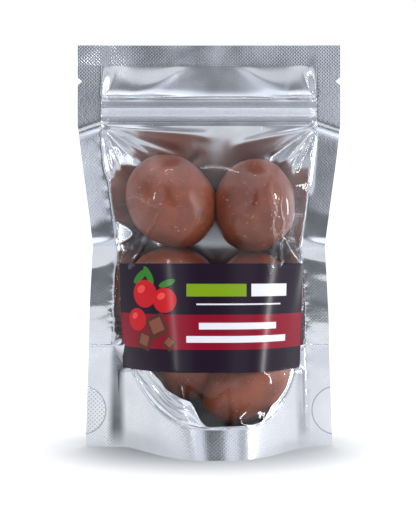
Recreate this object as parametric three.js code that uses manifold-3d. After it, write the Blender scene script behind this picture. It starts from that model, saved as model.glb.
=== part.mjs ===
// A sealed stand-up pouch of chocolate-covered freeze-dried strawberries. It has clear film in front, silver
// foil behind and below, a press-to-close zip near the top, and a label stuck across the film.
// The sealed pouch is one solid out to the film and the foil, which lie on the strawberries inside.
// Millimetres, +Z up, front towards -Y, origin on the table under the middle of the pouch.
import * as THREE from "three";
import { mergeVertices } from "three/addons/utils/BufferGeometryUtils.js";
import Module from "manifold-3d";

// Driving dimensions of the pouch.
const HEIGHT = 168; // standing height of a 170 mm pouch once it is filled
const HALF_WIDTH = 55; // of the flat pouch, which keeps it at the zip and above
// The sides are drawn in here, at a fold in each side seal.
const WAIST = { z: 83, halfWidth: 48, powerBelow: 0.6, powerAbove: 0.9 };
const FOOT_HALF_WIDTH = 51.8;
const SEAL_WIDTH = 10; // of each side seal
const TOP_SEAL_Z = 159.5; // lower edge of the top seal
const RIM = 0.35; // half the thickness of a welded edge
const ZIP = { bottom: 134.6, top: 146.1, ribBottom: 138.2, ribTop: 141.4, flange: 0.8, rib: 1.7 };
// How far the unsealed strip above the zip stands out in front and behind, and how much of it in its middle.
const HEADER = { frontSwell: 1.1, backSwell: 2.2, backMiddle: 0.35, edge: 7.5, spread: [-5, 24], peak: 0.85 };
const NOTCH = { z: 152.9, depth: 2, height: 3 }; // tear notch in each side seal
// How far the opened gusset pushes each panel out at the foot.
const BASE = { depth: 24.5, centreX: 3, halfSpan: 38.6, power: 2.5, outerPower: 1.5 };
const HOLLOW = { halfLength: 27, halfDepth: 16, rise: 3.5 }; // the gusset's hollow underneath
const SEAL_FADE = 9; // the seals' waves and twist die away over this length inside the bag

// Folds across the side seals: height, how far forward and half width.
const SEAL_FOLDS = [
  { z: 134.4, out: -0.7, half: 1.3 },
  { z: 119, out: 0.4, half: 9 },
  { z: 86, out: 0.8, half: 4.5 },
];

// The side seals twist: at each height they lean back (or forward) towards the outer edge, in hundredths.
const TWIST = {
  left: {
    z: [0, 40, 47, 55, 60, 76, 80, 89, 92, 95, 98, 126, 134],
    lean: [13, 13, 10, 2, -6, -7.5, -16, -22, -9, -6, 4, 4, 0],
  },
  right: {
    z: [0, 44, 48, 53, 60, 64, 70, 74, 79, 83, 88, 92, 97, 101, 126, 134],
    lean: [12, 12, 2, -5, -6, -3, -3, -6.5, -8, -20, -20, -8, -7, -2, -3, 0],
  },
};
const TWIST_SHEAR = 0.15; // a point further out takes its twist from further up

// Below this height the skirt of film and gusset, welded flat on each other, runs straight up from the foot.
const SKIRT = { top: 33.6, backDepth: 15, backPower: 2.4 };
// The weld that ends it is lowest at x and rises in a curve to the gusset's fold in each side seal.
const SEAM = { x: 4.4, bottom: 12.4, top: 42.5, leftSpan: 45, rightSpan: 39, leftPower: 3.05, rightPower: 4 };

// The strawberries that hold the film out: middle, half length, half width and half depth, and the lean of
// the long axis from upright in the XZ plane.
const BERRIES = [
  { at: [-15.6, -1.2, 102.5], long: 20.4, wide: 18.0, deep: 17.0, lean: 38 },
  { at: [19.0, -1.0, 100.6], long: 19.3, wide: 16.8, deep: 16.8, lean: -6 },
  { at: [-15.5, 3.0, 66.3], long: 19.4, wide: 17.6, deep: 17.2, lean: 80 },
  { at: [20.6, 4.4, 64.2], long: 18.4, wide: 17.4, deep: 16.8, lean: -70 },
  { at: [-10.4, 4.2, 37.2], long: 18.4, wide: 16.4, deep: 16.4, lean: 20 },
  { at: [15.6, -2.6, 26.6], long: 19.6, wide: 14.6, deep: 15.2, lean: -56 },
];

// The label, and the arch that it and the film hold between the strawberries behind it.
const LABEL = { bottom: 33.6, top: 76.7, width: 84.4, centreX: 1, thickness: 0.4, gap: 0.5 };
const ARCH = { depthLow: 20.8, depthHigh: 15.6, spanLow: 38, spanHigh: 40.3, power: 2.9, edge: 0.94 };

// Half the pouch's width at a height.
function halfWidth(z) {
  if (z < WAIST.z)
    return WAIST.halfWidth + (FOOT_HALF_WIDTH - WAIST.halfWidth) * (1 - z / WAIST.z) ** WAIST.powerBelow;
  const up = Math.min(1, (z - WAIST.z) / (ZIP.bottom - WAIST.z));
  return WAIST.halfWidth + (HALF_WIDTH - WAIST.halfWidth) * up ** WAIST.powerAbove;
}

// Half the width of the unwelded bag between its side seals.
function halfBag(z) {
  return halfWidth(z) - SEAL_WIDTH;
}

// Share of the full depth that the bottom edge has at x, from 1 in the middle to 0 at the pinched corners.
function bell(x) {
  const t = Math.min(1, Math.abs((x - BASE.centreX) / BASE.halfSpan));
  return (1 - t ** BASE.power) ** BASE.outerPower;
}

function smoothStep(value, start, end) {
  const share = THREE.MathUtils.clamp((value - start) / (end - start), 0, 1);
  return share * share * (3 - 2 * share);
}

// Depth of the strip from the zip to the top seal, in front for side 1 and behind for side -1.
function headDepth(side, x, z) {
  if (z >= TOP_SEAL_Z) return RIM;
  const room = halfBag(z) - Math.abs(x);
  if (z > ZIP.top) {
    const up = (z - ZIP.top) / (TOP_SEAL_Z - ZIP.top);
    const flange = smoothStep(room, 0, HEADER.edge / 2) * (ZIP.flange - RIM) * (1 - up);
    const beside = smoothStep(Math.abs(x) - (TOP_SEAL_Z - z), ...HEADER.spread);
    const across = side > 0 ? 1 : THREE.MathUtils.lerp(HEADER.backMiddle, 1, beside);
    const swell = (side > 0 ? HEADER.frontSwell : HEADER.backSwell) * Math.sin(Math.PI * up ** HEADER.peak);
    return RIM + flange + swell * across * smoothStep(room, 0, 1 + (HEADER.edge - 1) * up);
  }
  const onRib = z >= ZIP.ribBottom && z <= ZIP.ribTop;
  return RIM + ((onRib ? ZIP.rib : ZIP.flange) - RIM) * smoothStep(room, 0, HEADER.edge / 2);
}

// Depth of the skirt at x, z.
function skirtDepth(side, x, z) {
  const inside = THREE.MathUtils.clamp(1 - Math.abs(x) / halfBag(z), 0, 1);
  const back = SKIRT.backDepth * (1 - (1 - inside) ** SKIRT.backPower);
  const top = side > 0 ? Math.max(RIM, archDepth(x, SKIRT.top)) : back;
  return Math.max(RIM, THREE.MathUtils.lerp(BASE.depth * bell(x), top, z / SKIRT.top));
}

// Height of the curved weld between film and gusset, which ends the skirt.
function seamHeight(x) {
  const left = x < SEAM.x;
  const share = Math.abs(x - SEAM.x) / (left ? SEAM.leftSpan : SEAM.rightSpan);
  return SEAM.bottom + (SEAM.top - SEAM.bottom) * share ** (left ? SEAM.leftPower : SEAM.rightPower);
}

// Depth of one berry's face at x, z, in front for side 1 and behind for side -1, or none.
function berryDepth(berry, side, x, z) {
  const lean = THREE.MathUtils.degToRad(berry.lean);
  const dx = x - berry.at[0];
  const dz = z - berry.at[2];
  const along = (dz * Math.cos(lean) - dx * Math.sin(lean)) / berry.long;
  const across = (dx * Math.cos(lean) + dz * Math.sin(lean)) / berry.wide;
  const rest = 1 - along ** 2 - across ** 2;
  return rest > 0 ? berry.deep * Math.sqrt(rest) - side * berry.at[1] : -Infinity;
}

// Depth of the arch that the label holds.
function archDepth(x, z) {
  const up = (z - LABEL.bottom) / (LABEL.top - LABEL.bottom);
  if (up < 0 || up > 1) return -Infinity;
  const t = Math.abs(x - LABEL.centreX) / THREE.MathUtils.lerp(ARCH.spanLow, ARCH.spanHigh, up);
  const deep = THREE.MathUtils.lerp(ARCH.depthLow, ARCH.depthHigh, up);
  return t < ARCH.edge ? deep * (1 - t ** ARCH.power) : -Infinity;
}

// A sheet pulled straight between its welded edges and what holds it out from inside: every free point goes
// to the mean of its neighbours, or out to what it lies on. Returns the depth at x, z.
function sheet(side) {
  const cell = 2;
  const columns = Math.ceil(HALF_WIDTH / cell) * 2 + 1;
  const rows = Math.ceil(HEIGHT / cell) + 1;
  const x0 = (-(columns - 1) / 2) * cell;
  const depth = new Float64Array(columns * rows);
  const least = new Float64Array(columns * rows).fill(-Infinity);
  const free = new Uint8Array(columns * rows);
  for (let j = 0; j < rows; j++)
    for (let i = 0; i < columns; i++) {
      const k = j * columns + i;
      const x = x0 + i * cell;
      const z = j * cell;
      if (Math.abs(x) >= halfBag(z)) depth[k] = RIM;
      else if (z >= ZIP.bottom) depth[k] = headDepth(side, x, z);
      else if (z < Math.min(SKIRT.top, seamHeight(x))) depth[k] = skirtDepth(side, x, z);
      else {
        free[k] = 1;
        least[k] = Math.max(...BERRIES.map((berry) => berryDepth(berry, side, x, z)));
        if (side > 0) least[k] = Math.max(least[k], archDepth(x, z));
      }
    }
  for (let pass = 0; pass < 1500; pass++)
    for (let k = columns; k < columns * (rows - 1); k++)
      if (free[k]) {
        const mean = (depth[k - 1] + depth[k + 1] + depth[k - columns] + depth[k + columns]) / 4;
        depth[k] = Math.max(least[k], mean);
      }
  return (x, z) => {
    const fx = THREE.MathUtils.clamp((x - x0) / cell, 0, columns - 1.001);
    const fz = THREE.MathUtils.clamp(z / cell, 0, rows - 1.001);
    const i = Math.floor(fx);
    const k = Math.floor(fz) * columns + i;
    const low = THREE.MathUtils.lerp(depth[k], depth[k + 1], fx - i);
    const high = THREE.MathUtils.lerp(depth[k + columns], depth[k + columns + 1], fx - i);
    return THREE.MathUtils.lerp(low, high, fz - Math.floor(fz));
  };
}

// How far a side seal leans back at a height, for each unit outwards.
function twist(way, z) {
  const steps = TWIST[way].z;
  const lean = TWIST[way].lean;
  const upper = steps.findIndex((step) => step >= z);
  if (upper < 0) return 0;
  if (upper === 0) return lean[0] / 100;
  const share = smoothStep(z, steps[upper - 1], steps[upper]);
  return THREE.MathUtils.lerp(lean[upper - 1], lean[upper], share) / 100;
}

// How far the side seals leave their plane, as a shift in y. It dies away inside the bag.
function sealShift(x, z) {
  const past = Math.max(0, Math.abs(x) - halfBag(z));
  const inside = Math.max(0, halfBag(z) - Math.abs(x));
  let out = -twist(x < 0 ? "left" : "right", z + TWIST_SHEAR * past) * past;
  for (const fold of SEAL_FOLDS) out += fold.out * Math.exp(-(((z - fold.z) / fold.half) ** 2));
  return -out * Math.exp(-inside / SEAL_FADE);
}

// Heights of the rows of points: close together at the zip, wider over the bag.
function rowHeights() {
  const steps = [
    [0, ZIP.bottom, 44],
    [ZIP.bottom, ZIP.ribBottom, 2],
    [ZIP.ribBottom, ZIP.ribTop, 3],
    [ZIP.ribTop, ZIP.top, 2],
    [ZIP.top, TOP_SEAL_Z, 5],
    [TOP_SEAL_Z, HEIGHT, 2],
  ];
  const heights = [0];
  for (const [from, to, count] of steps)
    for (let n = 1; n <= count; n++) heights.push(from + ((to - from) * n) / count);
  return heights;
}

// Places across the pouch as [share of the bag's half width, share of the seal's width].
function columnPlaces() {
  const bagColumns = 30;
  const sealColumns = 3;
  const places = [];
  for (let n = sealColumns; n >= 1; n--) places.push([-1, -n / sealColumns]);
  for (let n = 0; n <= bagColumns; n++) places.push([(2 * n) / bagColumns - 1, 0]);
  for (let n = 1; n <= sealColumns; n++) places.push([1, n / sealColumns]);
  return places;
}

// The two faces as grids of points, joined along the edge and, in the plane of the table, underneath.
function pouchGeometry(front, back) {
  const heights = rowHeights();
  const places = columnPlaces();
  const wide = places.length;
  const positions = [];
  const index = [];
  for (const side of [1, -1])
    for (const z of heights)
      for (const [bag, seal] of places) {
        const x = bag * halfBag(z) + seal * SEAL_WIDTH;
        const depth = seal ? RIM : Math.max(RIM, (side > 0 ? front : back)(x, z));
        positions.push(x, sealShift(x, z) - side * depth, z);
      }
  const point = (side, j, i) => (side > 0 ? 0 : heights.length * wide) + j * wide + i;
  const quad = (a, b, c, d) => index.push(a, b, c, a, c, d);
  for (let j = 0; j + 1 < heights.length; j++) {
    for (let i = 0; i + 1 < wide; i++) {
      quad(point(1, j, i), point(1, j, i + 1), point(1, j + 1, i + 1), point(1, j + 1, i));
      quad(point(-1, j, i), point(-1, j + 1, i), point(-1, j + 1, i + 1), point(-1, j, i + 1));
    }
    quad(point(-1, j, 0), point(1, j, 0), point(1, j + 1, 0), point(-1, j + 1, 0));
    quad(point(1, j, wide - 1), point(-1, j, wide - 1), point(-1, j + 1, wide - 1), point(1, j + 1, wide - 1));
  }
  const top = heights.length - 1;
  for (let i = 0; i + 1 < wide; i++) {
    quad(point(1, top, i), point(1, top, i + 1), point(-1, top, i + 1), point(-1, top, i));
    quad(point(1, 0, i), point(-1, 0, i), point(-1, 0, i + 1), point(1, 0, i + 1));
  }
  const geometry = new THREE.BufferGeometry();
  geometry.setAttribute("position", new THREE.Float32BufferAttribute(positions, 3));
  return geometry.setIndex(index);
}

// The label as a thin sheet on the film: each row starts at its middle and goes out along the film's surface
// until it has the label's width, so it reaches less far to the sides where the pouch bulges more.
function labelGeometry(front) {
  const rows = 14;
  const halfColumns = 14;
  const wide = 2 * halfColumns + 1;
  const step = LABEL.width / 2 / halfColumns;
  const faceY = (x, z) => sealShift(x, z) - front(x, z);
  const positions = [];
  for (const lift of [LABEL.gap + LABEL.thickness, LABEL.gap])
    for (let j = 0; j <= rows; j++) {
      const z = THREE.MathUtils.lerp(LABEL.bottom, LABEL.top, j / rows);
      const across = new Array(wide).fill(LABEL.centreX);
      for (const way of [-1, 1])
        for (let n = 1; n <= halfColumns; n++) {
          const from = across[halfColumns + way * (n - 1)];
          const rise = faceY(from + way, z) - faceY(from, z);
          across[halfColumns + way * n] = from + (way * step) / Math.hypot(1, rise);
        }
      for (const x of across) positions.push(x, faceY(x, z) - lift, z);
    }
  const index = [];
  const point = (face, j, i) => face * (rows + 1) * wide + j * wide + i;
  const quad = (a, b, c, d) => index.push(a, b, c, a, c, d);
  for (let j = 0; j < rows; j++) {
    for (let i = 0; i + 1 < wide; i++) {
      quad(point(0, j, i), point(0, j, i + 1), point(0, j + 1, i + 1), point(0, j + 1, i));
      quad(point(1, j, i), point(1, j + 1, i), point(1, j + 1, i + 1), point(1, j, i + 1));
    }
    quad(point(1, j, 0), point(0, j, 0), point(0, j + 1, 0), point(1, j + 1, 0));
    quad(point(0, j, wide - 1), point(1, j, wide - 1), point(1, j + 1, wide - 1), point(0, j + 1, wide - 1));
  }
  for (let i = 0; i + 1 < wide; i++) {
    quad(point(0, rows, i), point(0, rows, i + 1), point(1, rows, i + 1), point(1, rows, i));
    quad(point(0, 0, i), point(1, 0, i), point(1, 0, i + 1), point(0, 0, i + 1));
  }
  const geometry = new THREE.BufferGeometry();
  geometry.setAttribute("position", new THREE.Float32BufferAttribute(positions, 3));
  return geometry.setIndex(index);
}

// The hollow that the folded gusset leaves under the pouch.
function hollowGeometry() {
  const bowl = new THREE.SphereGeometry(1, 32, 16);
  return bowl.scale(HOLLOW.halfLength, HOLLOW.halfDepth, HOLLOW.rise).translate(BASE.centreX, 0, 0);
}

// A tear notch: a small wedge that runs through the side seal.
function notchGeometry(way) {
  const reach = NOTCH.depth + 1;
  const halfMouth = ((NOTCH.height / 2) * reach) / NOTCH.depth;
  const wedge = new THREE.Shape();
  wedge.moveTo(0, 0);
  wedge.lineTo(reach, -halfMouth);
  wedge.lineTo(reach, halfMouth);
  wedge.closePath();
  const thick = 8 * RIM;
  const geometry = new THREE.ExtrudeGeometry(wedge, { depth: thick, bevelEnabled: false });
  geometry.translate(0, 0, -thick / 2).rotateX(Math.PI / 2);
  if (way < 0) geometry.rotateZ(Math.PI);
  return geometry.translate(way * (halfWidth(NOTCH.z) - NOTCH.depth), 0, NOTCH.z);
}

const wasm = await Module();
wasm.setup();

function solid(geometry) {
  const bare = geometry.clone();
  for (const name of ["normal", "uv"]) bare.deleteAttribute(name);
  const merged = mergeVertices(bare, 1e-4);
  return new wasm.Manifold(
    new wasm.Mesh({
      numProp: 3,
      vertProperties: new Float32Array(merged.attributes.position.array),
      triVerts: new Uint32Array(merged.index.array),
    }),
  );
}

function geometryOf(body) {
  const mesh = body.getMesh();
  const geometry = new THREE.BufferGeometry();
  geometry.setAttribute("position", new THREE.Float32BufferAttribute(mesh.vertProperties, 3));
  geometry.setIndex(new THREE.BufferAttribute(mesh.triVerts, 1));
  geometry.computeVertexNormals();
  return geometry;
}

function named(name, geometry, material) {
  const mesh = new THREE.Mesh(geometry, new THREE.MeshStandardMaterial(material));
  mesh.name = name;
  return mesh;
}

const front = sheet(1);
const back = sheet(-1);
const body = solid(pouchGeometry(front, back))
  .subtract(solid(hollowGeometry()))
  .subtract(solid(notchGeometry(1)))
  .subtract(solid(notchGeometry(-1)));

const pack = new THREE.Group();
pack.add(
  named("pouch", geometryOf(body), { color: 0xaeb1b8, roughness: 0.3, metalness: 0.9 }),
  named("label", labelGeometry(front), { color: 0x2f1f30, roughness: 0.35, metalness: 0 }),
);

export default pack;
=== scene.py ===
import math

import bpy
import numpy as np
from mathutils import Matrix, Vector
from mathutils.bvhtree import BVHTree


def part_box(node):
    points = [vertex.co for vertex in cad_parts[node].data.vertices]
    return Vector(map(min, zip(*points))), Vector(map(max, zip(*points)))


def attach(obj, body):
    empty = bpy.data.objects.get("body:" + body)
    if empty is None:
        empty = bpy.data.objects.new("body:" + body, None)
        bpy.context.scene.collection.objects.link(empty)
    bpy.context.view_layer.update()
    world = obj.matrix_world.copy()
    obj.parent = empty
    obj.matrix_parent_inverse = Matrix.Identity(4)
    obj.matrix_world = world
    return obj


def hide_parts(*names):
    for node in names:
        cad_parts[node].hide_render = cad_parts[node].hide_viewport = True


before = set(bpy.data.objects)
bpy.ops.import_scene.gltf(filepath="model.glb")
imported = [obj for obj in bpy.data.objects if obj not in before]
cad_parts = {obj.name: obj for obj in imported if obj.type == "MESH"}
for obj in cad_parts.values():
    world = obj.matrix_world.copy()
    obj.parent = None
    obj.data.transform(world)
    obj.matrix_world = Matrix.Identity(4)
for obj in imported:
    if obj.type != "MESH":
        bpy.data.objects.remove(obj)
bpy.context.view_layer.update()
pouch_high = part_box("pouch")[1]
MM = 0.001

# The camera stands level with the middle of the pouch, close enough that its bowed foot shows.
CAMERA_DISTANCE = 350 * MM
CAMERA_HEIGHT = 78.1 * MM
CAMERA_LENS = 57.9
camera_place = (-0.4 * MM, -CAMERA_DISTANCE, CAMERA_HEIGHT)
bpy.ops.object.camera_add(location=camera_place, rotation=(math.pi / 2, 0, 0))
camera = bpy.context.object
camera.data.lens = CAMERA_LENS
bpy.context.scene.camera = camera
bpy.context.scene.view_settings.view_transform = "Standard"


# The studio: a white floor before a white backdrop, and a bright tent with a dark gap for the camera. Narrow
# strip lights stand in front, at the right and above, and the foil and the film mirror them and the tent. Two
# large boxes add soft light and aren't mirrored.
class Value:
    """A number, colour or vector in a node tree. Sums on it add the maths nodes that work it out."""

    def __init__(self, tree, socket):
        self.tree = tree
        self.socket = socket

    def maths(self, operation, *others):
        node = self.tree.nodes.new("ShaderNodeMath")
        node.operation = operation
        for slot, value in zip(node.inputs, (self, *others)):
            plug(self.tree, value, slot)
        return Value(self.tree, node.outputs[0])

    def __add__(self, other):
        return self.maths("ADD", other)

    __radd__ = __add__

    def __sub__(self, other):
        return self.maths("SUBTRACT", other)

    def __rsub__(self, other):
        return (self * -1) + other

    def __mul__(self, other):
        return self.maths("MULTIPLY", other)

    __rmul__ = __mul__

    def __pow__(self, other):
        return self.maths("POWER", other)

    def __abs__(self):
        return self.maths("ABSOLUTE")

    def sine(self):
        return self.maths("SINE")

    def largest(self, other):
        return self.maths("MAXIMUM", other)

    def rise(self, start, end):
        """0 below start and 1 above end, smooth between. With end below start it falls."""
        node = self.tree.nodes.new("ShaderNodeMapRange")
        node.interpolation_type = "SMOOTHSTEP"
        low, high = (start, end) if start < end else (end, start)
        values = (self, low, high, 0.0, 1.0) if start < end else (self, low, high, 1.0, 0.0)
        for slot, value in zip(node.inputs, values):
            plug(self.tree, value, slot)
        return Value(self.tree, node.outputs[0])


def plug(tree, value, slot):
    if isinstance(value, Value):
        tree.links.new(value.socket, slot)
    else:
        slot.default_value = value


class Finish:
    """A material, or the world, as it is put together from nodes."""

    def __init__(self, owner, output_type="ShaderNodeOutputMaterial"):
        owner.use_nodes = True
        self.owner = owner
        self.tree = owner.node_tree
        self.tree.nodes.clear()
        self.output = self.tree.nodes.new(output_type)

    def node(self, kind, settings=None, sockets=None, out=0):
        """Adds a node with its settings, then its socket values or links, and returns one of its outputs."""
        node = self.tree.nodes.new(kind)
        for name, value in (settings or {}).items():
            setattr(node, name, value)
        for name, value in (sockets or {}).items():
            plug(self.tree, value, node.inputs[name])
        return Value(self.tree, node.outputs[out])

    def mix(self, factor, first, second):
        """A colour that goes from first to second as factor goes from 0 to 1."""
        node = self.tree.nodes.new("ShaderNodeMix")
        node.data_type = "RGBA"
        for index, value in ((0, factor), (6, first), (7, second)):
            plug(self.tree, value, node.inputs[index])
        return Value(self.tree, node.outputs[2])

    def noise(self, scale, where, detail=2.0, roughness=0.5):
        sockets = {"Scale": scale, "Detail": detail, "Roughness": roughness, "Vector": where}
        return self.node("ShaderNodeTexNoise", None, sockets)

    def split(self, vector):
        node = self.tree.nodes.new("ShaderNodeSeparateXYZ")
        plug(self.tree, vector, node.inputs[0])
        return [Value(self.tree, output) for output in node.outputs]

    def show(self, shader, into="Surface"):
        plug(self.tree, shader, self.output.inputs[into])
        return self.owner


def rgb(red, green, blue):
    """A colour given as it looks on a screen, from 0 to 255, as the linear light that shaders use."""
    parts = [value / 255 for value in (red, green, blue)]
    return [p / 12.92 if p < 0.04045 else ((p + 0.055) / 1.055) ** 2.4 for p in parts] + [1.0]


FLOOR_SIZE = 0.9
PAINTED_SHADOW_HALF_X, PAINTED_SHADOW_HALF_Y = 0.046, 0.027  # half axes of the oval round the foot where the floor's glow is held back for the camera: a painted contact shadow
CAMERA_GLOW, LIGHT_GLOW, MIRROR_GLOW = 0.74, 0.34, 0.12  # how much the floor glows for the camera, as a
# light on the pouch, and on top of that where it is mirrored: a paper floor that meets its backdrop unseen
bpy.ops.object.select_all(action="DESELECT")
bpy.ops.mesh.primitive_plane_add(size=FLOOR_SIZE)
floor = bpy.context.object
floor.name = "floor"
white = Finish(bpy.data.materials.new("white_paper"))
paper = white.node("ShaderNodeBsdfPrincipled", None, {"Base Color": rgb(158, 158, 158), "Roughness": 0.9})
x, y, _ = white.split(white.node("ShaderNodeTexCoord", out="Object"))
from_foot = ((x * (1 / PAINTED_SHADOW_HALF_X)) ** 2 + (y * (1 / PAINTED_SHADOW_HALF_Y)) ** 2) ** 0.5
seen = white.node("ShaderNodeLightPath", out="Is Camera Ray")
mirrored = white.node("ShaderNodeLightPath", out="Is Glossy Ray")
# For the camera the glow fades out towards the foot, inside and round that oval: a painted contact shadow.
lit = seen * from_foot.rise(0.45, 2.25) * CAMERA_GLOW + (1 - seen) * LIGHT_GLOW + mirrored * MIRROR_GLOW
glow = white.node("ShaderNodeEmission", None, {"Color": rgb(255, 255, 255), "Strength": lit})
floor.data.materials.append(white.show(white.node("ShaderNodeAddShader", None, {0: paper, 1: glow})))

world = bpy.data.worlds.new("tent")
bpy.context.scene.world = world
tent = Finish(world, "ShaderNodeOutputWorld")
to_right, to_back, to_top = tent.split(tent.node("ShaderNodeTexCoord", out="Generated"))
bright_right, bright_left = to_right.rise(0.64, 0.85) * 0.9, to_right.rise(-0.75, -0.95) * 0.3
walls = bright_right + bright_left - abs(to_right).rise(0.4, 0.6) * 0.5
camera_gap = abs(to_right + 0.02).rise(0.24, 0.07) * to_back.rise(0.0, -0.2)
camera_gap = camera_gap * to_top.rise(0.66, 0.34) * to_top.rise(-0.4, -0.16)
overhead = to_top.rise(0.5, 0.68) * 0.5 - to_top.rise(0.92, 0.98) * 1.2
brightness = 1.0 + walls - camera_gap * 0.82 + overhead
tent_light = tent.node("ShaderNodeBackground", None, {"Color": rgb(240, 246, 255), "Strength": brightness})
backdrop = tent.node("ShaderNodeBackground", None, {"Color": rgb(255, 255, 255), "Strength": 1.1})
seen = tent.node("ShaderNodeLightPath", out="Is Camera Ray")
tent.show(tent.node("ShaderNodeMixShader", None, {0: seen, 1: tent_light, 2: backdrop}))


def soft_box(name, azimuth, height, distance, size, radiance, mirrored=True):
    """A soft box that looks at the pouch. Azimuth 0 is in front, and 90 to the right. One that isn't mirrored
    shows in no foil, as a box behind a large diffuser."""
    turn = math.radians(azimuth)
    place = Vector((math.sin(turn) * distance, -math.cos(turn) * distance, height))
    bpy.ops.object.light_add(type="AREA", location=place)
    light = bpy.context.object
    light.name = name
    light.data.shape = "RECTANGLE"
    light.data.size, light.data.size_y = size
    light.data.energy = radiance * math.pi * size[0] * size[1]
    light.visible_glossy = mirrored
    aim = Vector((0, 0, CAMERA_HEIGHT)) - place
    light.rotation_euler = aim.to_track_quat("-Z", "Y").to_euler()


soft_box("strip_right", 54, 0.1, 0.26, (0.017, 0.2), 22)
soft_box("strip_side", 96, 0.1, 0.4, (0.03, 0.12), 12)
soft_box("strip_top", 0, 0.6, 0.25, (0.14, 0.014), 9)
soft_box("strip_left", -28, 0.12, 0.5, (0.02, 0.14), 13)
soft_box("front_box", -46, 0.6, 1.0, (0.8, 0.6), 1.8, mirrored=False)
soft_box("back_box", 180, 0.9, 0.5, (0.8, 0.6), 4, mirrored=False)


# The strawberries are whole, freeze-dried and coated thickly with milk chocolate, which leaves an uneven oval
# with flats and shallow dents. The coat is half shiny and holds fine pale specks. Neighbours run into each
# other a little, and lower_left runs 7 mm into middle_left behind the label.
BERRIES = {  # middle and half sizes in millimetres, and how far each leans to the left in degrees
    "upper_left": {"at": (-15.6, -1.2, 102.5), "half": (18.0, 17.0, 20.4), "lean": 38},
    "upper_right": {"at": (19.0, -1.0, 100.6), "half": (16.8, 16.8, 19.3), "lean": -6},
    "middle_left": {"at": (-15.5, 3.0, 66.3), "half": (17.6, 17.2, 19.4), "lean": 80},
    "middle_right": {"at": (20.0, 3.6, 64.2), "half": (17.4, 16.8, 16.7), "lean": -70},
    "lower_left": {"at": (-10.4, 4.2, 37.2), "half": (16.4, 16.4, 18.4), "lean": 20},
    "lower_right": {"at": (15.6, -2.6, 26.6), "half": (14.6, 15.2, 19.6), "lean": -56},
}
BERRY_SKIN = 0.8  # the film lies this far off the chocolate


def chocolate(name, shade):
    coat = Finish(bpy.data.materials.new(name))
    place = coat.node("ShaderNodeTexCoord", out="Object")
    cloud = coat.noise(70, place, 3)
    smudge = coat.noise(190, place, 4, 0.6).rise(0.52, 0.68)
    specks = coat.noise(1100, place, 1).rise(0.69, 0.76)
    light, dark, warm = rgb(140, 71, 46), rgb(116, 55, 36), rgb(160, 80, 42)
    light, dark, warm = ([part * shade for part in tone[:3]] + [1.0] for tone in (light, dark, warm))
    colour = coat.mix(cloud.rise(0.35, 0.65), light, dark)
    colour = coat.mix(smudge * 0.4, colour, warm)
    colour = coat.mix(specks * 0.7, colour, rgb(196, 160, 142))
    roughness = 0.24 + cloud * 0.14 + smudge * 0.12
    dents = coat.noise(120, place, 1) * 0.35 + specks * 0.08
    bump = coat.node("ShaderNodeBump", None, {"Strength": 0.4, "Distance": 0.0008, "Height": dents})
    sockets = {"Base Color": colour, "Roughness": roughness, "Normal": bump, "IOR": 1.42}
    return coat.show(coat.node("ShaderNodeBsdfPrincipled", None, sockets))


LUMPS = ((17, 2.0), (6, 0.35))  # size and depth of the coat's broad and small unevenness


def strawberry(name, at, half, lean):
    bpy.ops.object.select_all(action="DESELECT")
    bpy.ops.mesh.primitive_ico_sphere_add(subdivisions=6, radius=1)
    berry = bpy.context.object
    berry.name = "strawberry_" + name
    berry.scale = [value * MM for value in half]
    berry.rotation_euler = (0, -math.radians(lean), 0)
    berry.location = [value * MM for value in at]
    bpy.ops.object.transform_apply(location=True, rotation=True, scale=True)
    for size, depth in LUMPS:
        lumps = bpy.data.textures.new(f"lumps_{name}_{size}", "CLOUDS")
        lumps.noise_scale = size * MM
        lumps.noise_depth = 1
        bump = berry.modifiers.new("lumps", "DISPLACE")
        bump.texture = lumps
        bump.texture_coords = "GLOBAL"
        bump.strength = depth * MM
        bump.mid_level = 0.5
        bpy.ops.object.modifier_apply(modifier=bump.name)
    bpy.ops.object.shade_smooth()
    return berry


milk_chocolate = chocolate("milk_chocolate", 1.0)
darker_chocolate = chocolate("darker_chocolate", 0.78)  # one of them is darker than the rest
strawberries = []
for name, facts in BERRIES.items():
    berry = strawberry(name, **facts)
    berry.data.materials.append(darker_chocolate if name == "upper_right" else milk_chocolate)
    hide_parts("pouch")
    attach(berry, "root")
    strawberries.append(berry)

# The foil back: one panel of silver laminate the size of the whole pouch. Its two sides and top are welded to
# the front film under a cross-hatched jaw, its zip is closed, and below it lies slackly on the strawberries.
HEIGHT = pouch_high[2] / MM
HALF_WIDTH = pouch_high[0] / MM
WAIST_Z, WAIST_HALF, FOOT_HALF = 83.0, 48.0, 51.8
SEAL = 10.0  # width of each side seal
TOP_SEAL = 8.5
ZIP_LOW, ZIP_RIB_LOW, ZIP_RIB_HIGH, ZIP_HIGH = 134.6, 138.2, 141.4, 146.1
SLACK = 6.0  # extra length of a panel, taken up in wrinkles below the zip
FOOT_DEPTH, FOOT_CENTRE, FOOT_SPAN, FOOT_POWERS = 25.0, 3.0, 38.6, (2.5, 1.5)
HEADER_FRONT, HEADER_BACK = 1.1, 2.0  # how far film and foil swell between the zip and the top seal
GUSSET_TOP = 42.5  # the gusset's fold reaches this height in the side seals
# Folds across the side seals, as height at the inner edge, how far forward, half width, and fall towards the
# outer edge: the crease at the zip's lower corners, a slow wave, and the buckle at the waist.
RIM_FOLDS = ((134.4, -0.7, 1.3, 0.33), (119.0, 0.4, 9.0, 0.0), (86.0, 0.8, 4.5, 0.1))
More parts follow.
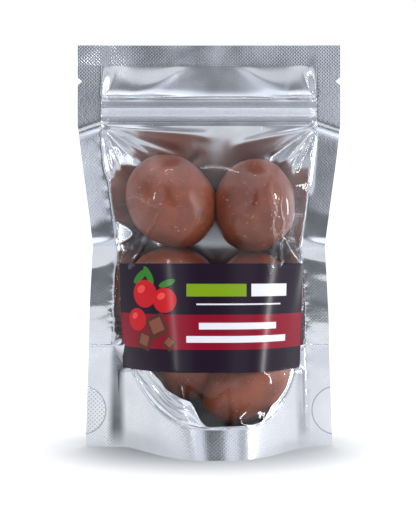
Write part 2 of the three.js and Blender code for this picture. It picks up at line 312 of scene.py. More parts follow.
# The side seals twist: heights, and how many hundredths the seal leans back there towards its outer edge.
LEFT_LEAN = (
    (0, 40, 47, 55, 60, 76, 80, 86, 88.5, 92, 98, 126, 134),
    (13, 13, 10, 2, -6, -7.5, -16, -21, -8, -6.5, 4, 4, 0),
)
RIGHT_LEAN = (
    (0, 44, 48, 53, 60, 64, 70, 74, 79, 83, 86, 88.5, 97, 101, 126, 134),
    (12, 12, 2, -5, -6, -3, -3, -6.5, -8, -20, -20, -8, -7, -2, -3, 0),
)
LEAN_SHEAR = 0.15  # a point further out takes its lean from further up
LABEL_LOW, LABEL_HIGH, LABEL_WIDTH, LABEL_CENTRE = 33.6, 76.7, 84.4, 1.0
ARCH_DEPTH, ARCH_SPAN, ARCH_POWER = (20.2, 15.6), (37.8, 40.9), 2.9  # each at the label's foot and top
FLAT_ZIP = ZIP_LOW + SLACK  # heights measured along the flat panel
FLAT_TOP = HEIGHT + SLACK
GAP = 0.25  # between two layers
NOTCH_Z, NOTCH_DEPTH, NOTCH_HALF = 152.9, 2.0, 1.6  # the tear notch cut into each side seal
LOOSE = 60.0  # flat height that tells the gusset's material that a row isn't welded


def half_width(z):
    low = WAIST_HALF + (FOOT_HALF - WAIST_HALF) * np.clip(1 - z / WAIST_Z, 0, 1) ** 0.6
    up = np.clip((z - WAIST_Z) / (ZIP_LOW - WAIST_Z), 0, 1)
    return np.where(z < WAIST_Z, low, WAIST_HALF + (HALF_WIDTH - WAIST_HALF) * up**0.9)


def standing(v):
    """Height over the floor of a point at height v on the flat panel's side edge."""
    return np.where(v > FLAT_ZIP, v - SLACK, v * ZIP_LOW / FLAT_ZIP)


def smooth_step(value, start, end):
    share = np.clip((value - start) / (end - start), 0, 1)
    return share * share * (3 - 2 * share)


def smooth_table(value, steps, amounts):
    """The amount at a value, going smoothly from each of the table's steps to the next."""
    index = np.clip(np.searchsorted(steps, value) - 1, 0, len(steps) - 2)
    steps, amounts = np.array(steps, float), np.array(amounts, float)
    share = smooth_step(value, steps[index], steps[index + 1])
    return amounts[index] * (1 - share) + amounts[index + 1] * share


def rim_folds(x, z):
    """How far forward the welded rim stands."""
    past = np.maximum(0, abs(x) - half_width(z) + SEAL)
    waves = sum(
        out * np.exp(-(((z + fall * past - height) / half) ** 2)) for height, out, half, fall in RIM_FOLDS
    )
    lean_z = z + LEAN_SHEAR * past
    lean = np.where(x < 0, smooth_table(lean_z, *LEFT_LEAN), smooth_table(lean_z, *RIGHT_LEAN))
    return waves - lean * past / 100


def puckers(z):
    """The weld's inner edge is drawn into small puckers below the zip."""
    small = np.sin(z * 2.5 + 2 * np.sin(z / 5.1)) * (0.5 + 0.5 * np.sin(z / 7.3))
    return (0.14 * small + 0.1 * np.sin(z * 0.93 + 1)) * smooth_step(z, 136, 132) * smooth_step(z, 42, 48)


def head_depth(x, z, side):
    """Depth of the strip from the zip to the top seal. Its sheet is drawn to the zip's two ends, so the
    slopes at its sides start from a point there and widen upwards. The foil is flatter in the middle."""
    swelling, middle = (HEADER_FRONT, 1.0) if side > 0 else (HEADER_BACK, 0.35)
    room = half_width(z) - SEAL - abs(x)
    up = np.clip((z - ZIP_HIGH) / (HEIGHT - TOP_SEAL - ZIP_HIGH), 0, 1)
    edge = smooth_step(room, 0, 1.0 + 6.5 * up)
    across = middle + (1 - middle) * smooth_step(abs(x - 7) - 0.9 * (HEIGHT - TOP_SEAL - z), -5, 22)
    swell = np.sin(math.pi * up**0.67) ** (1.3 - 0.75 * smooth_step(room, 14, 5) * smooth_step(up, 0.3, 0.5))
    crinkle = 0.3 * np.sin(z * 2.3 + x) * np.sin(room * 1.7 + 0.6)
    crinkle = crinkle * smooth_step(room, 5, 1.5) * smooth_step(room, 0, 0.6)
    crimp = smooth_step(room, 0, 3.5) + crinkle * (z < ZIP_HIGH + 0.5)
    rib = np.exp(-(((z - (ZIP_RIB_LOW + ZIP_RIB_HIGH) / 2) / 1.9) ** 4))
    strip = smooth_step(z, ZIP_LOW - 0.8, ZIP_LOW + 0.5) * smooth_step(z, ZIP_HIGH + 0.8, ZIP_HIGH - 0.5)
    return GAP + edge * swell * swelling * across + crimp * (0.2 + 0.35 * strip + 0.9 * rib)


def foot_edge(u):
    """x and depth of the bottom edge at length u along it: straight under the side seals, a bell between."""
    inside = FOOT_HALF - SEAL
    x = np.linspace(-inside, inside, 2001)
    t = np.minimum(1, abs((x - FOOT_CENTRE) / FOOT_SPAN))
    depth = FOOT_DEPTH * (1 - t ** FOOT_POWERS[0]) ** FOOT_POWERS[1]
    length = np.concatenate([[0], np.cumsum(np.hypot(np.diff(x), np.diff(depth)))])
    length = (length / length[-1] * 2 - 1) * (HALF_WIDTH - SEAL)
    past = np.maximum(0, abs(u) - HALF_WIDTH + SEAL)
    return np.interp(u, length, x) + np.sign(u) * past, np.maximum(GAP, np.interp(u, length, depth))


def arch(u, z):
    """x and depth of the stiff arch behind the label, at length u from its middle."""
    share = np.linspace(0, 1, 400)
    across, out = np.zeros_like(u), np.zeros_like(u)
    for row in range(len(u)):
        up = (z[row, 0] - LABEL_LOW) / (LABEL_HIGH - LABEL_LOW)
        x = share * (ARCH_SPAN[0] + (ARCH_SPAN[1] - ARCH_SPAN[0]) * up)
        deep = (1 - share**ARCH_POWER) * (ARCH_DEPTH[0] + (ARCH_DEPTH[1] - ARCH_DEPTH[0]) * up)
        length = np.concatenate([[0], np.cumsum(np.hypot(np.diff(x), np.diff(deep)))])
        out[row] = np.interp(abs(u[row]), length, deep)
        across[row] = np.sign(u[row]) * np.interp(abs(u[row]), length, x)
    return across + LABEL_CENTRE, out


def berry_depths(side, cell=0.5):
    """How far the strawberries stand out on a grid of x and z, in front for side 1 and behind for side -1."""
    across = np.arange(-HALF_WIDTH, HALF_WIDTH + cell, cell)
    up = np.arange(0, ZIP_LOW + cell, cell)
    depths = np.full((len(up), len(across)), -50.0)
    far = side * Vector((0, -0.1, 0))
    for berry in strawberries:
        points = [vertex.co for vertex in berry.data.vertices]
        tree = BVHTree.FromPolygons(points, [face.vertices for face in berry.data.polygons])
        low = [min(point[axis] for point in points) / MM for axis in range(3)]
        high = [max(point[axis] for point in points) / MM for axis in range(3)]
        for j in np.nonzero((up > low[2]) & (up < high[2]))[0]:
            for i in np.nonzero((across > low[0]) & (across < high[0]))[0]:
                start = Vector((across[i] * MM, 0, up[j] * MM)) + far
                hit = tree.ray_cast(start, -far)[0]
                if hit:
                    depths[j, i] = max(depths[j, i], -side * hit.y / MM)
    return across[0], cell, depths


def sample(field, x, z):
    x0, cell, depths = field
    fx = np.clip((x - x0) / cell, 0, depths.shape[1] - 1.001)
    fz = np.clip(z / cell, 0, depths.shape[0] - 1.001)
    i, j = fx.astype(int), fz.astype(int)
    a, b = fx - i, fz - j
    low = depths[j, i] * (1 - a) + depths[j, i + 1] * a
    high = depths[j + 1, i] * (1 - a) + depths[j + 1, i + 1] * a
    return low * (1 - b) + high * b


def pull(ends, weights, rest, stiffness):
    """Moves both ends of many threads towards their rest length. Pinned ends have no weight."""
    first, second = ends
    gap = second - first
    length = np.sqrt((gap**2).sum(-1)) + 1e-9
    share = weights[0] + weights[1]
    move = np.where(share > 0, stiffness * (length - rest) / length / np.maximum(share, 1e-9), 0)
    first += (weights[0] * move)[..., None] * gap
    second -= (weights[1] * move)[..., None] * gap


SEAM_CENTRE, SEAM_LOW, SEAM_RISE = 4.4, 12.4, 30.1  # the curved weld's lowest point, and its rise from there
SEAM_SPANS, SEAM_POWERS = (45.0, 39.0), (3.05, 4.0)  # to the left and to the right of that point


def seam(u):
    """Flat height of the curved weld between gusset and panel, and of the gusset's top at the sides."""
    share = abs(u - SEAM_CENTRE) / np.where(u < SEAM_CENTRE, *SEAM_SPANS)
    height = SEAM_LOW + SEAM_RISE * share ** np.where(u < SEAM_CENTRE, *SEAM_POWERS)
    return np.minimum(GUSSET_TOP, height) * FLAT_ZIP / ZIP_LOW


def drape(side, steps, bend, shear, press, seed, easing):
    """A panel let settle between its welds and over the strawberries. side is 1 for the front and -1 for the
    back. It starts at the flat panel's size and gets more width towards the foot, to reach round it. Returns
    its points as x, depth and z, in rows up the panel."""
    field = berry_depths(side)
    random = np.random.default_rng(seed)
    points = None
    for cell, count in steps:
        columns = round(2 * HALF_WIDTH / cell) + 1
        rows = round(FLAT_TOP / cell) + 1
        u, v = np.meshgrid(np.linspace(-HALF_WIDTH, HALF_WIDTH, columns), np.linspace(0, FLAT_TOP, rows))
        z = standing(v)
        width = half_width(z)
        inside = HALF_WIDTH - SEAL
        sealed_x = np.sign(u) * (width - HALF_WIDTH + abs(u))
        x = np.where(abs(u) >= inside, sealed_x, u / inside * (width - SEAL))
        rim = rim_folds(x, z) + puckers(z + 40 * (x > 0)) * np.exp(-(((abs(u) - inside) / 1.6) ** 2))
        depth = GAP + side * rim * np.exp(-np.maximum(0, width - SEAL - abs(x)) / 9)
        pinned = (abs(u) >= inside - 0.01) | (v >= FLAT_ZIP)
        depth = np.where((v >= FLAT_ZIP) & (abs(u) < inside), head_depth(x, z, side), depth)
        if side > 0:
            labelled = (abs(u - LABEL_CENTRE) <= LABEL_WIDTH / 2 + 0.6) & (abs(u) < inside)
            labelled &= (z >= LABEL_LOW - 0.6) & (z <= LABEL_HIGH + 0.6)
            arch_x, arch_out = arch(u - LABEL_CENTRE, z)
            x = np.where(labelled, arch_x, x)
            depth = np.where(labelled, arch_out, depth)
            pinned |= labelled
        # The skirt below the curved seam is two layers welded flat, so it runs straight up from the foot.
        foot_x, foot_depth = foot_edge(u[0])
        level = int(np.argmax(z[:, 0] >= LABEL_LOW))
        top_depth = depth[level] if side > 0 else 15 * (1 - np.minimum(1, abs(u[0]) / inside) ** 2.4)
        down = 1 - np.clip(v / v[level], 0, 1)
        skirt = (v <= seam(u)) & (abs(u) < inside)
        shift = foot_x - x[0]
        x = x + shift * down
        straight = np.maximum(foot_depth * down + top_depth * (1 - down), GAP)
        depth = np.where(skirt & (down > 0), straight, depth)
        pinned |= skirt
        laid = np.stack([x, depth, z], -1)
        if points is None:
            points = laid.copy()
            swell = 17 * (1 - np.minimum(1, abs(u) / inside) ** 2.5)
            swell = swell * (1 - down) + foot_depth * down
            points[..., 1] = np.where(pinned, depth, np.maximum(depth, swell))
        else:
            points = resample(points, columns, rows)
            points[pinned] = laid[pinned]
        points[..., 1] += np.where(pinned, 0, random.normal(0, 0.08 * cell, pinned.shape))
        weight = np.where(pinned, 0.0, 1.0)
        foot_length = np.hypot(np.diff(x[0]), np.diff(depth[0])).sum() / (2 * HALF_WIDTH)
        wide = 2 * HALF_WIDTH / (columns - 1) * (1 + (foot_length - 1) * np.clip(1 - v / 42, 0, 1) ** 1.3)
        tall = np.full(pinned.shape, FLAT_TOP / (rows - 1))
        cross = np.hypot(wide, tall)
        for _ in range(count):
            for s in (0, 1):
                left, right = np.s_[:, s:-1:2], np.s_[:, s + 1 :: 2]
                lower, upper = np.s_[s:-1:2], np.s_[s + 1 :: 2]
                pull((points[left], points[right]), (weight[left], weight[right]), wide[left], 1.0)
                pull((points[lower], points[upper]), (weight[lower], weight[upper]), tall[lower], 1.0)
                rising = (np.s_[:-1, s:-1:2], np.s_[1:, s + 1 :: 2])
                falling = (np.s_[1:, s:-1:2], np.s_[:-1, s + 1 :: 2])
                for a, b in (rising, falling):
                    pull((points[a], points[b]), (weight[a], weight[b]), cross[a], shear)
            for s in (0, 1, 2, 3):
                left, right = np.s_[:, s:-2:4], np.s_[:, s + 2 :: 4]
                lower, upper = np.s_[s:-2:4], np.s_[s + 2 :: 4]
                pull((points[left], points[right]), (weight[left], weight[right]), 2 * wide[left], bend)
                pull((points[lower], points[upper]), (weight[lower], weight[upper]), 2 * tall[lower], bend)
            points[..., 1] += np.where(pinned, 0, press * cell)
            least = np.maximum(sample(field, points[..., 0], points[..., 2]) + BERRY_SKIN, GAP)
            points[..., 1] = np.where(pinned, points[..., 1], np.maximum(points[..., 1], least))
    return eased(points, field, easing)


def eased(points, field, passes):
    """A draped sheet with its small wrinkles smoothed below the zip, away from the welds and the label."""
    loose = loose_part(points)
    for _ in range(passes):
        around = points[1:-1, :-2] + points[1:-1, 2:] + points[:-2, 1:-1] + points[2:, 1:-1]
        middle = points[1:-1, 1:-1, 1]
        middle += 0.6 * (around[..., 1] / 4 - middle) * loose[1:-1, 1:-1]
        least = sample(field, points[..., 0], points[..., 2]) + 0.7 * BERRY_SKIN
        points[..., 1] = np.where(loose > 0, np.maximum(points[..., 1], least), points[..., 1])
    return points


def loose_part(points):
    """1 where a sheet lies loose, 0 on and near its welds and the label."""
    rows, columns = points.shape[:2]
    u, v = np.meshgrid(np.linspace(-HALF_WIDTH, HALF_WIDTH, columns), np.linspace(0, FLAT_TOP, rows))
    loose = smooth_step(abs(u), HALF_WIDTH - SEAL, HALF_WIDTH - SEAL - 2)
    loose = loose * smooth_step(v, FLAT_ZIP, FLAT_ZIP - 2)
    label_low, label_top = LABEL_LOW * FLAT_ZIP / ZIP_LOW, LABEL_HIGH * FLAT_ZIP / ZIP_LOW
    below = smooth_step(v, label_low - 0.6, label_low - 2.6) * smooth_step(v - seam(u), 0.3, 2)
    return loose * (smooth_step(v, label_top, label_top + 3) + 0.6 * below)


def resample(points, columns, rows):
    """The same sheet with another number of points each way, straight between the old ones."""
    i = np.linspace(0, points.shape[1] - 1, columns)
    j = np.linspace(0, points.shape[0] - 1, rows)
    left = np.minimum(i.astype(int), points.shape[1] - 2)
    low = np.minimum(j.astype(int), points.shape[0] - 2)
    a = (i - left)[None, :, None]
    b = (j - low)[:, None, None]
    below = points[low][:, left] * (1 - a) + points[low][:, left + 1] * a
    above = points[low + 1][:, left] * (1 - a) + points[low + 1][:, left + 1] * a
    return below * (1 - b) + above * b


def spline_weights(t):
    return np.stack([(1 - t) ** 3, 3 * t**3 - 6 * t**2 + 4, -3 * t**3 + 3 * t**2 + 3 * t + 1, t**3], -1) / 6


def on_sheet(points, u, v):
    """Points at lengths u and v on the flat panel, on the smooth surface through a draped sheet."""
    rows, columns = points.shape[:2]
    fu = np.clip((u + HALF_WIDTH) / (2 * HALF_WIDTH), 0, 1) * (columns - 1)
    fv = np.clip(v / FLAT_TOP, 0, 1) * (rows - 1)
    i = np.minimum(fu.astype(int), columns - 2)
    j = np.minimum(fv.astype(int), rows - 2)
    across, up = spline_weights(fu - i), spline_weights(fv - j)
    edged = np.pad(points, ((1, 1), (1, 1), (0, 0)), mode="reflect", reflect_type="odd")
    total = np.zeros(u.shape + (3,))
    for a in range(4):
        for b in range(4):
            total += (across[..., a] * up[..., b])[..., None] * edged[j + b, i + a]
    return total


def panel(points, side, u, v):
    """A draped sheet's points, with the fine lines of the zip and header worked out at each point."""
    places = on_sheet(points, u, v)
    z = standing(v)
    fine = head_depth(places[..., 0], z, side) + zip_lines(z)
    unwelded = (abs(u) < HALF_WIDTH - SEAL) & (z < HEIGHT - TOP_SEAL)
    share = smooth_step(v, FLAT_ZIP - 0.6, FLAT_ZIP + 0.6) * unwelded
    places[..., 1] = places[..., 1] * (1 - share) + fine * share
    return places


ZIP_LINES = (  # height, how far out and half width of each
    (146.4, -0.16, 0.35),
    (145.4, 0.2, 0.4),
    (144.4, -0.1, 0.3),
    (135.9, -0.1, 0.3),
    (135.1, 0.16, 0.35),
)


def zip_lines(z):
    """The fine grooves and ridges where the zip's edges are welded on."""
    return sum(out * np.exp(-(((z - height) / half) ** 2)) for height, out, half in ZIP_LINES)


def sheet_piece(name, u, v, places):
    """A grid added as a primitive and laid on the given places, with its flat lengths as its UV map."""
    rows, columns = u.shape
    bpy.ops.object.select_all(action="DESELECT")
    bpy.ops.mesh.primitive_grid_add(x_subdivisions=columns - 1, y_subdivisions=rows - 1, size=1)
    piece = bpy.context.object
    piece.name = name
    piece.data.vertices.foreach_set("co", (places * MM).astype(np.float32).ravel())
    corners = np.zeros(len(piece.data.loops), dtype=np.int32)
    piece.data.loops.foreach_get("vertex_index", corners)
    flat = np.stack([u.ravel(), v.ravel()], -1)[corners] * MM
    piece.data.uv_layers.active.data.foreach_set("uv", flat.astype(np.float32).ravel())
    piece.data.update()
    bpy.ops.object.shade_smooth()
    return piece


def forward(places, side, lift=0.0):
    """x, depth and z as x, y and z, for a sheet in front (side 1) or behind (side -1)."""
    return np.stack([places[..., 0], -side * (places[..., 1] + lift), places[..., 2]], -1)


HATCH_PITCH = 1.0  # from line to line of the jaw's pattern, in millimetres
SPOT_OUTSIDE, SPOT_HEIGHT = 2.4, 15.7  # the round spot in each lower corner has its middle outside the edge
SPOT_RADII = (10.6, 10.8)
GUSSET_WELD_TOP = (44.2, 44.4)  # flat height at which the gusset's own weld ends
# Colours of painted shade, for the creases beside the lower seals and for the gusset's inside.
CREASE_SHADE_FOIL, GUSSET_SHADE_FOIL = rgb(78, 80, 88), rgb(70, 70, 76)


def foil(name, front):
    """Silver foil laminate, cross-hatched where it was welded. It reads lengths on the flat panel. Painted
    shade darkens by colour the pits of the weld and the ring and weave of the round spots, the bands beside
    the lower seals where the sheet turns in a crease, and the gusset's inside under the strawberries, to
    match how dark they look on the real one."""
    skin = Finish(bpy.data.materials.new(name))
    flat = skin.node("ShaderNodeUVMap")
    u, v, _ = skin.split(flat)
    u, v = u * (1 / MM), v * (1 / MM)
    sides = abs(u).rise(HALF_WIDTH - SEAL - 0.15, HALF_WIDTH - SEAL + 0.15)
    top = v.rise(FLAT_TOP - TOP_SEAL - 0.15, FLAT_TOP - TOP_SEAL + 0.15)
    welded = sides.largest(top)
    if front:
        welded = welded.largest(1 - v.rise(*GUSSET_WELD_TOP))
    turn = 2 * math.pi / HATCH_PITCH * math.sqrt(0.5)
    hatch = ((u + v) * turn).sine().largest(((u - v) * turn).sine())
    spot = ((abs(u) - HALF_WIDTH - SPOT_OUTSIDE) ** 2 + (v - SPOT_HEIGHT) ** 2) ** 0.5
    in_spot = spot.rise(SPOT_RADII[1], SPOT_RADII[0])
    ring = spot.rise(10.2, 10.6) * spot.rise(11.1, 10.7)
    weave = (u * 3.4).sine() * (v * 3.4).sine()
    woven = in_spot * u.rise(1, -1) * weave
    hatch = hatch * (1 - in_spot) + woven * 4 - ring * 7
    where = skin.node("ShaderNodeTexCoord", out="Object")
    patchy = skin.noise(60, where, 2).rise(0.3, 0.7)
    fine = skin.noise(900, where, 3, 0.6)
    above = v.rise(150, 164)
    height = welded * (0.16 + 0.4 * above + 0.36 * top) * (0.5 + 0.5 * patchy) * hatch
    height = height + fine * 0.6 * (0.08 + 0.92 * welded) * (1 + v.rise(118, 140))
    bump = skin.node("ShaderNodeBump", None, {"Strength": 1.0, "Distance": 0.00003, "Height": height})
    tone = skin.mix(patchy, rgb(212, 215, 221), rgb(226, 228, 233))
    # Painted shade: the weld's pits, the ring round each spot and the weave inside it are darkened in colour.
    painted_pit_shade = welded * hatch.rise(0.4, -0.7) * (1 - in_spot) * (0.05 + 0.45 * fine.rise(0.3, 0.7) * patchy)
    painted_emboss_shade = (ring * 0.55).largest(woven.rise(0.1, 0.7) * 0.4).largest(painted_pit_shade)
    tone = skin.mix(painted_emboss_shade, tone, rgb(96, 102, 118))
    # Painted shade: a dark band just inside each side seal, from the foot up to the gusset's top, where the
    # sheet turns into a crease, darker at the left.
    painted_crease_shade = abs(abs(u) - HALF_WIDTH + SEAL + 2.8).rise(4.4, 0.6) * v.rise(46, 38) * v.rise(-2, 9)
    tone = skin.mix(painted_crease_shade * (0.66 + 0.3 * patchy - 0.45 * u.rise(-1, 1)), tone, CREASE_SHADE_FOIL)
    if front:
        # Painted shade: the gusset's floor and back lip, which lie under the strawberries, are darkened.
        tone = skin.mix(v.rise(LOOSE, LOOSE + 0.3) * 0.6, tone, GUSSET_SHADE_FOIL)
    roughness = 0.22 - 0.09 * welded + 0.04 * patchy
    sockets = {"Base Color": tone, "Metallic": 1.0, "Roughness": roughness, "Normal": bump}
    return skin.show(skin.node("ShaderNodeBsdfPrincipled", None, sockets))


def crease(points, folds):
    """Adds long folds to a sheet's points. Each follows a line of x, z places, starts as a point at the
    first, and widens and rises to its full height in mm and half width."""
    for line, height, half in folds:
        steps = [math.dist(a, b) for a, b in zip(line, line[1:])]
        nearest = np.full(points.shape[:2], 1e9)
        along = np.zeros(points.shape[:2])
        gone = 0
        for (x0, z0), (x1, z1), step in zip(line, line[1:], steps):
            dx, dz = points[..., 0] - x0, points[..., 2] - z0
            share = np.clip((dx * (x1 - x0) + dz * (z1 - z0)) / step**2, 0, 1)
            off = np.hypot(dx - share * (x1 - x0), dz - share * (z1 - z0))
            along = np.where(off < nearest, (gone + share * step) / sum(steps), along)
            nearest = np.minimum(nearest, off)
            gone += step
        wide = half * (0.15 + 0.85 * along)
        rise = smooth_step(along, 0, 0.3) * smooth_step(along, 1.001, 0.8)
        points[..., 1] += height * rise * np.exp(-((nearest / wide) ** 2))
    return points


BACK_FOLDS = (
    (((-45, 134), (-41, 112)), 1.0, 1.6),
    (((-45, 134), (-35, 114)), -1.1, 1.8),
    (((-45, 134), (-29, 118)), 1.0, 2.0),
    (((-45, 134), (-22, 120)), -0.9, 2.0),
    (((-45, 134), (-8, 123)), 1.0, 2.4),
    (((-45, 134), (6, 130)), -0.7, 2.2),
    (((45, 134), (40, 104)), -1.0, 1.8),
    (((45, 134), (35, 112)), 1.2, 2.0),
    (((45, 134), (29, 117)), -1.2, 2.0),
    (((45, 134), (22, 120)), 1.0, 2.2),
    (((45, 134), (8, 126)), -0.9, 2.4),
    (((-24, 121), (-9, 118.5), (-6, 121), (-2, 125)), 0.8, 1.8),
    (((-38.4, 86), (-36.6, 82), (-36.8, 77)), 0.5, 0.8),
    (((-37.6, 84), (-34.5, 80.5)), -0.5, 0.7),
    (((-6, 159.2), (-14, 157), (-30, 148.5), (-38, 146.5)), 0.45, 4.6),
    (((10, 159.2), (17, 157), (31, 149), (39, 146.5)), 0.45, 4.6),
)
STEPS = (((4, 160), (2, 160), (1, 160)))
back_sheet = drape(-1, STEPS, bend=0.3, shear=0.4, press=-0.002, seed=5, easing=18)
u, v = np.meshgrid(np.linspace(-HALF_WIDTH, HALF_WIDTH, 221), np.linspace(0, FLAT_TOP, 345))
cut = NOTCH_DEPTH * np.clip(1 - abs(standing(v) - NOTCH_Z) / NOTCH_HALF, 0, 1)
u -= np.sign(u) * cut * smooth_step(abs(u), HALF_WIDTH - 5, HALF_WIDTH)
places = crease(panel(back_sheet, -1, u, v), BACK_FOLDS)
# At the left end of the waist's buckle a small leaf of foil stands forward, bent up more at its free edge.
LEAF_ROOT, LEAF_HEIGHT, LEAF_LENGTH = -38.8, 89.2, 7.8
leaf_x, leaf_z = places[..., 0] - LEAF_ROOT, places[..., 2] - LEAF_HEIGHT
leaf_edge = LEAF_LENGTH - 0.3 * leaf_z**2
leaf = smooth_step(leaf_x, 0, 0.8) * smooth_step(leaf_x, leaf_edge, leaf_edge - 0.8)
places[..., 1] += (0.3 - 0.14 * leaf_x - 0.014 * leaf_x**2 - places[..., 1]) * leaf
foil_back = sheet_piece("foil_back", u, v, forward(places, -1))
foil_back.data.flip_normals()
foil_back.data.materials.append(foil("back_foil", False))
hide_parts("pouch")
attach(foil_back, "root")

# The front film: clear, thin and glossy. It is welded to the foil all round and to the gusset along a curve
# below, and lies on the strawberries with sharp folds. Only the window inside the welds is a piece here: in
# the welds the foil stands for both.
front_sheet = drape(1, STEPS, bend=0.25, shear=0.3, press=-0.0015, seed=1, easing=26)
FRONT_FOLDS = (
    (((-45, 134), (-35, 114)), 0.8, 1.6),
    (((-45, 134), (-26, 118)), 0.7, 1.9),
    (((45, 134), (34, 112)), 0.8, 1.6),
    (((45, 134), (24, 118)), 0.7, 1.9),
    (((-36, 102), (-32.7, 103.8), (-29.6, 104.2), (-26.4, 103), (-23.3, 100.7), (-16.5, 99)), 1.3, 1.1),
    (
        ((-17.5, 102.5), (-19.4, 98.5), (-20.1, 96), (-21.7, 92.4), (-24.1, 89.3), (-27.5, 82), (-34, 73)),
        2.1,
        1.2,
    ),
    (((25.5, 112), (24.5, 104), (26.5, 98), (24.8, 92), (26.2, 87), (24.6, 80), (25.2, 70)), 1.6, 1.4),
    (((29.5, 108), (28.3, 99), (30, 93), (28.6, 84), (29.2, 72)), 1.0, 1.0),
)


def clear_film():
    film = Finish(bpy.data.materials.new("clear_film"))
    facing = film.node("ShaderNodeLayerWeight", None, {"Blend": 0.5}, "Facing")
    mirrored = 0.033 + 0.25 * facing**2 + 0.25 * facing**5
    where = film.node("ShaderNodeTexCoord", out="Object")
    ripple = film.noise(160, where, 1)
    bump = film.node("ShaderNodeBump", None, {"Strength": 0.06, "Distance": 0.0005, "Height": ripple})
    sockets = {"Base Color": rgb(255, 255, 255), "Metallic": 1.0, "Roughness": 0.07, "Normal": bump}
    gloss = film.node("ShaderNodeBsdfPrincipled", None, sockets)
    through = film.node("ShaderNodeBsdfTransparent", None, {"Color": rgb(250, 250, 250)})
    return film.show(film.node("ShaderNodeMixShader", None, {0: mirrored, 1: through, 2: gloss}))


reach = HALF_WIDTH - SEAL + 0.6
share_u, share_v = np.meshgrid(np.linspace(-reach, reach, 240), np.linspace(0, 1, 401))
low = seam(share_u) - 0.8
film_v = low + (FLAT_TOP - TOP_SEAL + 0.6 - low) * share_v
places = crease(panel(front_sheet, 1, share_u, film_v), FRONT_FOLDS)
front_film = sheet_piece("front_film", share_u, film_v, forward(places, 1, GAP))
front_film.data.materials.append(clear_film())
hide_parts("pouch")
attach(front_film, "root")

# The gusset: a third panel of the same foil, folded up between front and back. It is welded to both below the
# curved seam and runs out into the side seals. Above each seam it stays close to that panel for a few
# millimetres, and then it hangs down as the floor. The lower right strawberry runs up to 3.4 mm through it.
SKIRT_ROWS, EDGE_ROWS, LIP_ROWS, FLOOR_ROWS = 44, 16, 24, 40
FOLD_LOW = 3.0  # height of the gusset's fold in the middle
SEAM_RIDGE, SEAM_EDGE = 0.3, 2.0  # the weld's edge stands out as a thin ridge
# How far it stays close above the front seam on each side, how deep its creases are, and how far behind.
LIP_LEFT, LIP_RIGHT, LIP_CREASE, BACK_LIP = 9.0, 3.0, 0.28, 8.0


def evened(line, width):
    """A line of values with its small unevenness smoothed away."""
    reach = int(3 * width)
    bell = np.exp(-((np.arange(-reach, reach + 1) / width) ** 2))
    return np.convolve(np.pad(line, reach, mode="edge"), bell / bell.sum(), mode="valid")


across = np.linspace(-HALF_WIDTH + 0.3, HALF_WIDTH - 0.3, 221)
weld_v = seam(across)
steepness = np.gradient(weld_v, across)
lip_left = LIP_LEFT * smooth_step(across, -42, -35) * smooth_step(across, 0, -10)
lip_right = LIP_RIGHT * smooth_step(across, 20, 30) * smooth_step(across, 42, 38)
lip = 0.4 + lip_left + lip_right
skirt_v = [(weld_v - SEAM_EDGE) * row / SKIRT_ROWS for row in range(SKIRT_ROWS)]
skirt_v += [weld_v - SEAM_EDGE * (1 - row / EDGE_ROWS) for row in range(EDGE_ROWS + 1)]
rows = []  # flat u, flat v and place of each row, from the front foot up, over the floor and down the back
for v in skirt_v:
    ridge = SEAM_RIDGE * smooth_step(v - weld_v, -0.9, -0.4)
    rows.append((across, v, forward(on_sheet(front_sheet, across, v), 1, ridge)))
for row in range(1, LIP_ROWS + 1):
    share = row / LIP_ROWS
    step = lip * share / np.hypot(1, steepness)
    u, v = across - steepness * step, weld_v + step
    behind = 0.45 + LIP_CREASE * (1 - math.cos(5 * math.pi * share)) * lip / LIP_LEFT
    place = on_sheet(front_sheet, u, v)
    place[..., 1] = evened(place[..., 1], 1 + 8 * share)
    rows.append((u, np.full(u.shape, LOOSE), forward(place, 1, -behind)))
front_top = rows[-1][2]
back_lip = []  # above the back seam it stays close to the foil in the same way
for row in range(LIP_ROWS):
    step = BACK_LIP * smooth_step(abs(across), 43, 33) * (1 - row / LIP_ROWS) / np.hypot(1, steepness)
    u, v = across - steepness * step, weld_v + step
    back_lip.append((u, np.full(u.shape, LOOSE + 1), forward(on_sheet(back_sheet, u, v), -1, -2 * GAP)))
back_top = back_lip[0][2]
fold_height = FOLD_LOW + (GUSSET_TOP - FOLD_LOW) * np.minimum(1, abs(across) / (HALF_WIDTH - SEAL)) ** 2.2
sag = np.maximum(0, (front_top[:, 2] + back_top[:, 2]) / 2 - fold_height)
for row in range(1, FLOOR_ROWS):
    share = row / FLOOR_ROWS
    place = front_top * (1 - share) + back_top * share
    place[:, 2] -= sag * (1 - abs(2 * share - 1) ** 1.6)
    rows.append((across, np.full(across.shape, LOOSE + share), place))
rows += back_lip
for v in reversed(skirt_v):
    rows.append((across, v, forward(on_sheet(back_sheet, across, v), -1, -GAP)))
u, v, places = (np.array(part) for part in zip(*rows))
gusset = sheet_piece("gusset", u, v, places)
gusset.data.materials.append(foil("gusset_foil", True))
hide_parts("pouch")
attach(gusset, "root")

# The zip: a strip of milky plastic, welded between film and foil and crushed flat at the side seals. Its two
# flanges are rough, and the fine ribs that lock into each other run along its middle.
ZIP_INSET = 1.5  # the strip starts this far inside the welds that hold it
zip_u, zip_v = np.meshgrid(
    np.linspace(-HALF_WIDTH + SEAL + 0.2, HALF_WIDTH - SEAL - 0.2, 121),
    np.linspace(FLAT_ZIP + ZIP_INSET, FLAT_ZIP + ZIP_HIGH - ZIP_LOW - ZIP_INSET, 97),
)
zip_z = standing(zip_v)
zip_middle = (ZIP_RIB_LOW + ZIP_RIB_HIGH) / 2
standing_out = np.exp(-(((zip_z - zip_middle) / 1.8) ** 6))
fine_ribs = 0.12 * np.sin(2 * math.pi * (zip_z - zip_middle) / 0.85) * standing_out
crushed = smooth_step(abs(zip_u), HALF_WIDTH - SEAL, HALF_WIDTH - SEAL - 3.5)
zip_out = 0.1 + (0.3 + 0.75 * standing_out + fine_ribs) * crushed
zip_strip = sheet_piece("zip_strip", zip_u, zip_v, np.stack([zip_u, -zip_out, zip_z], -1))


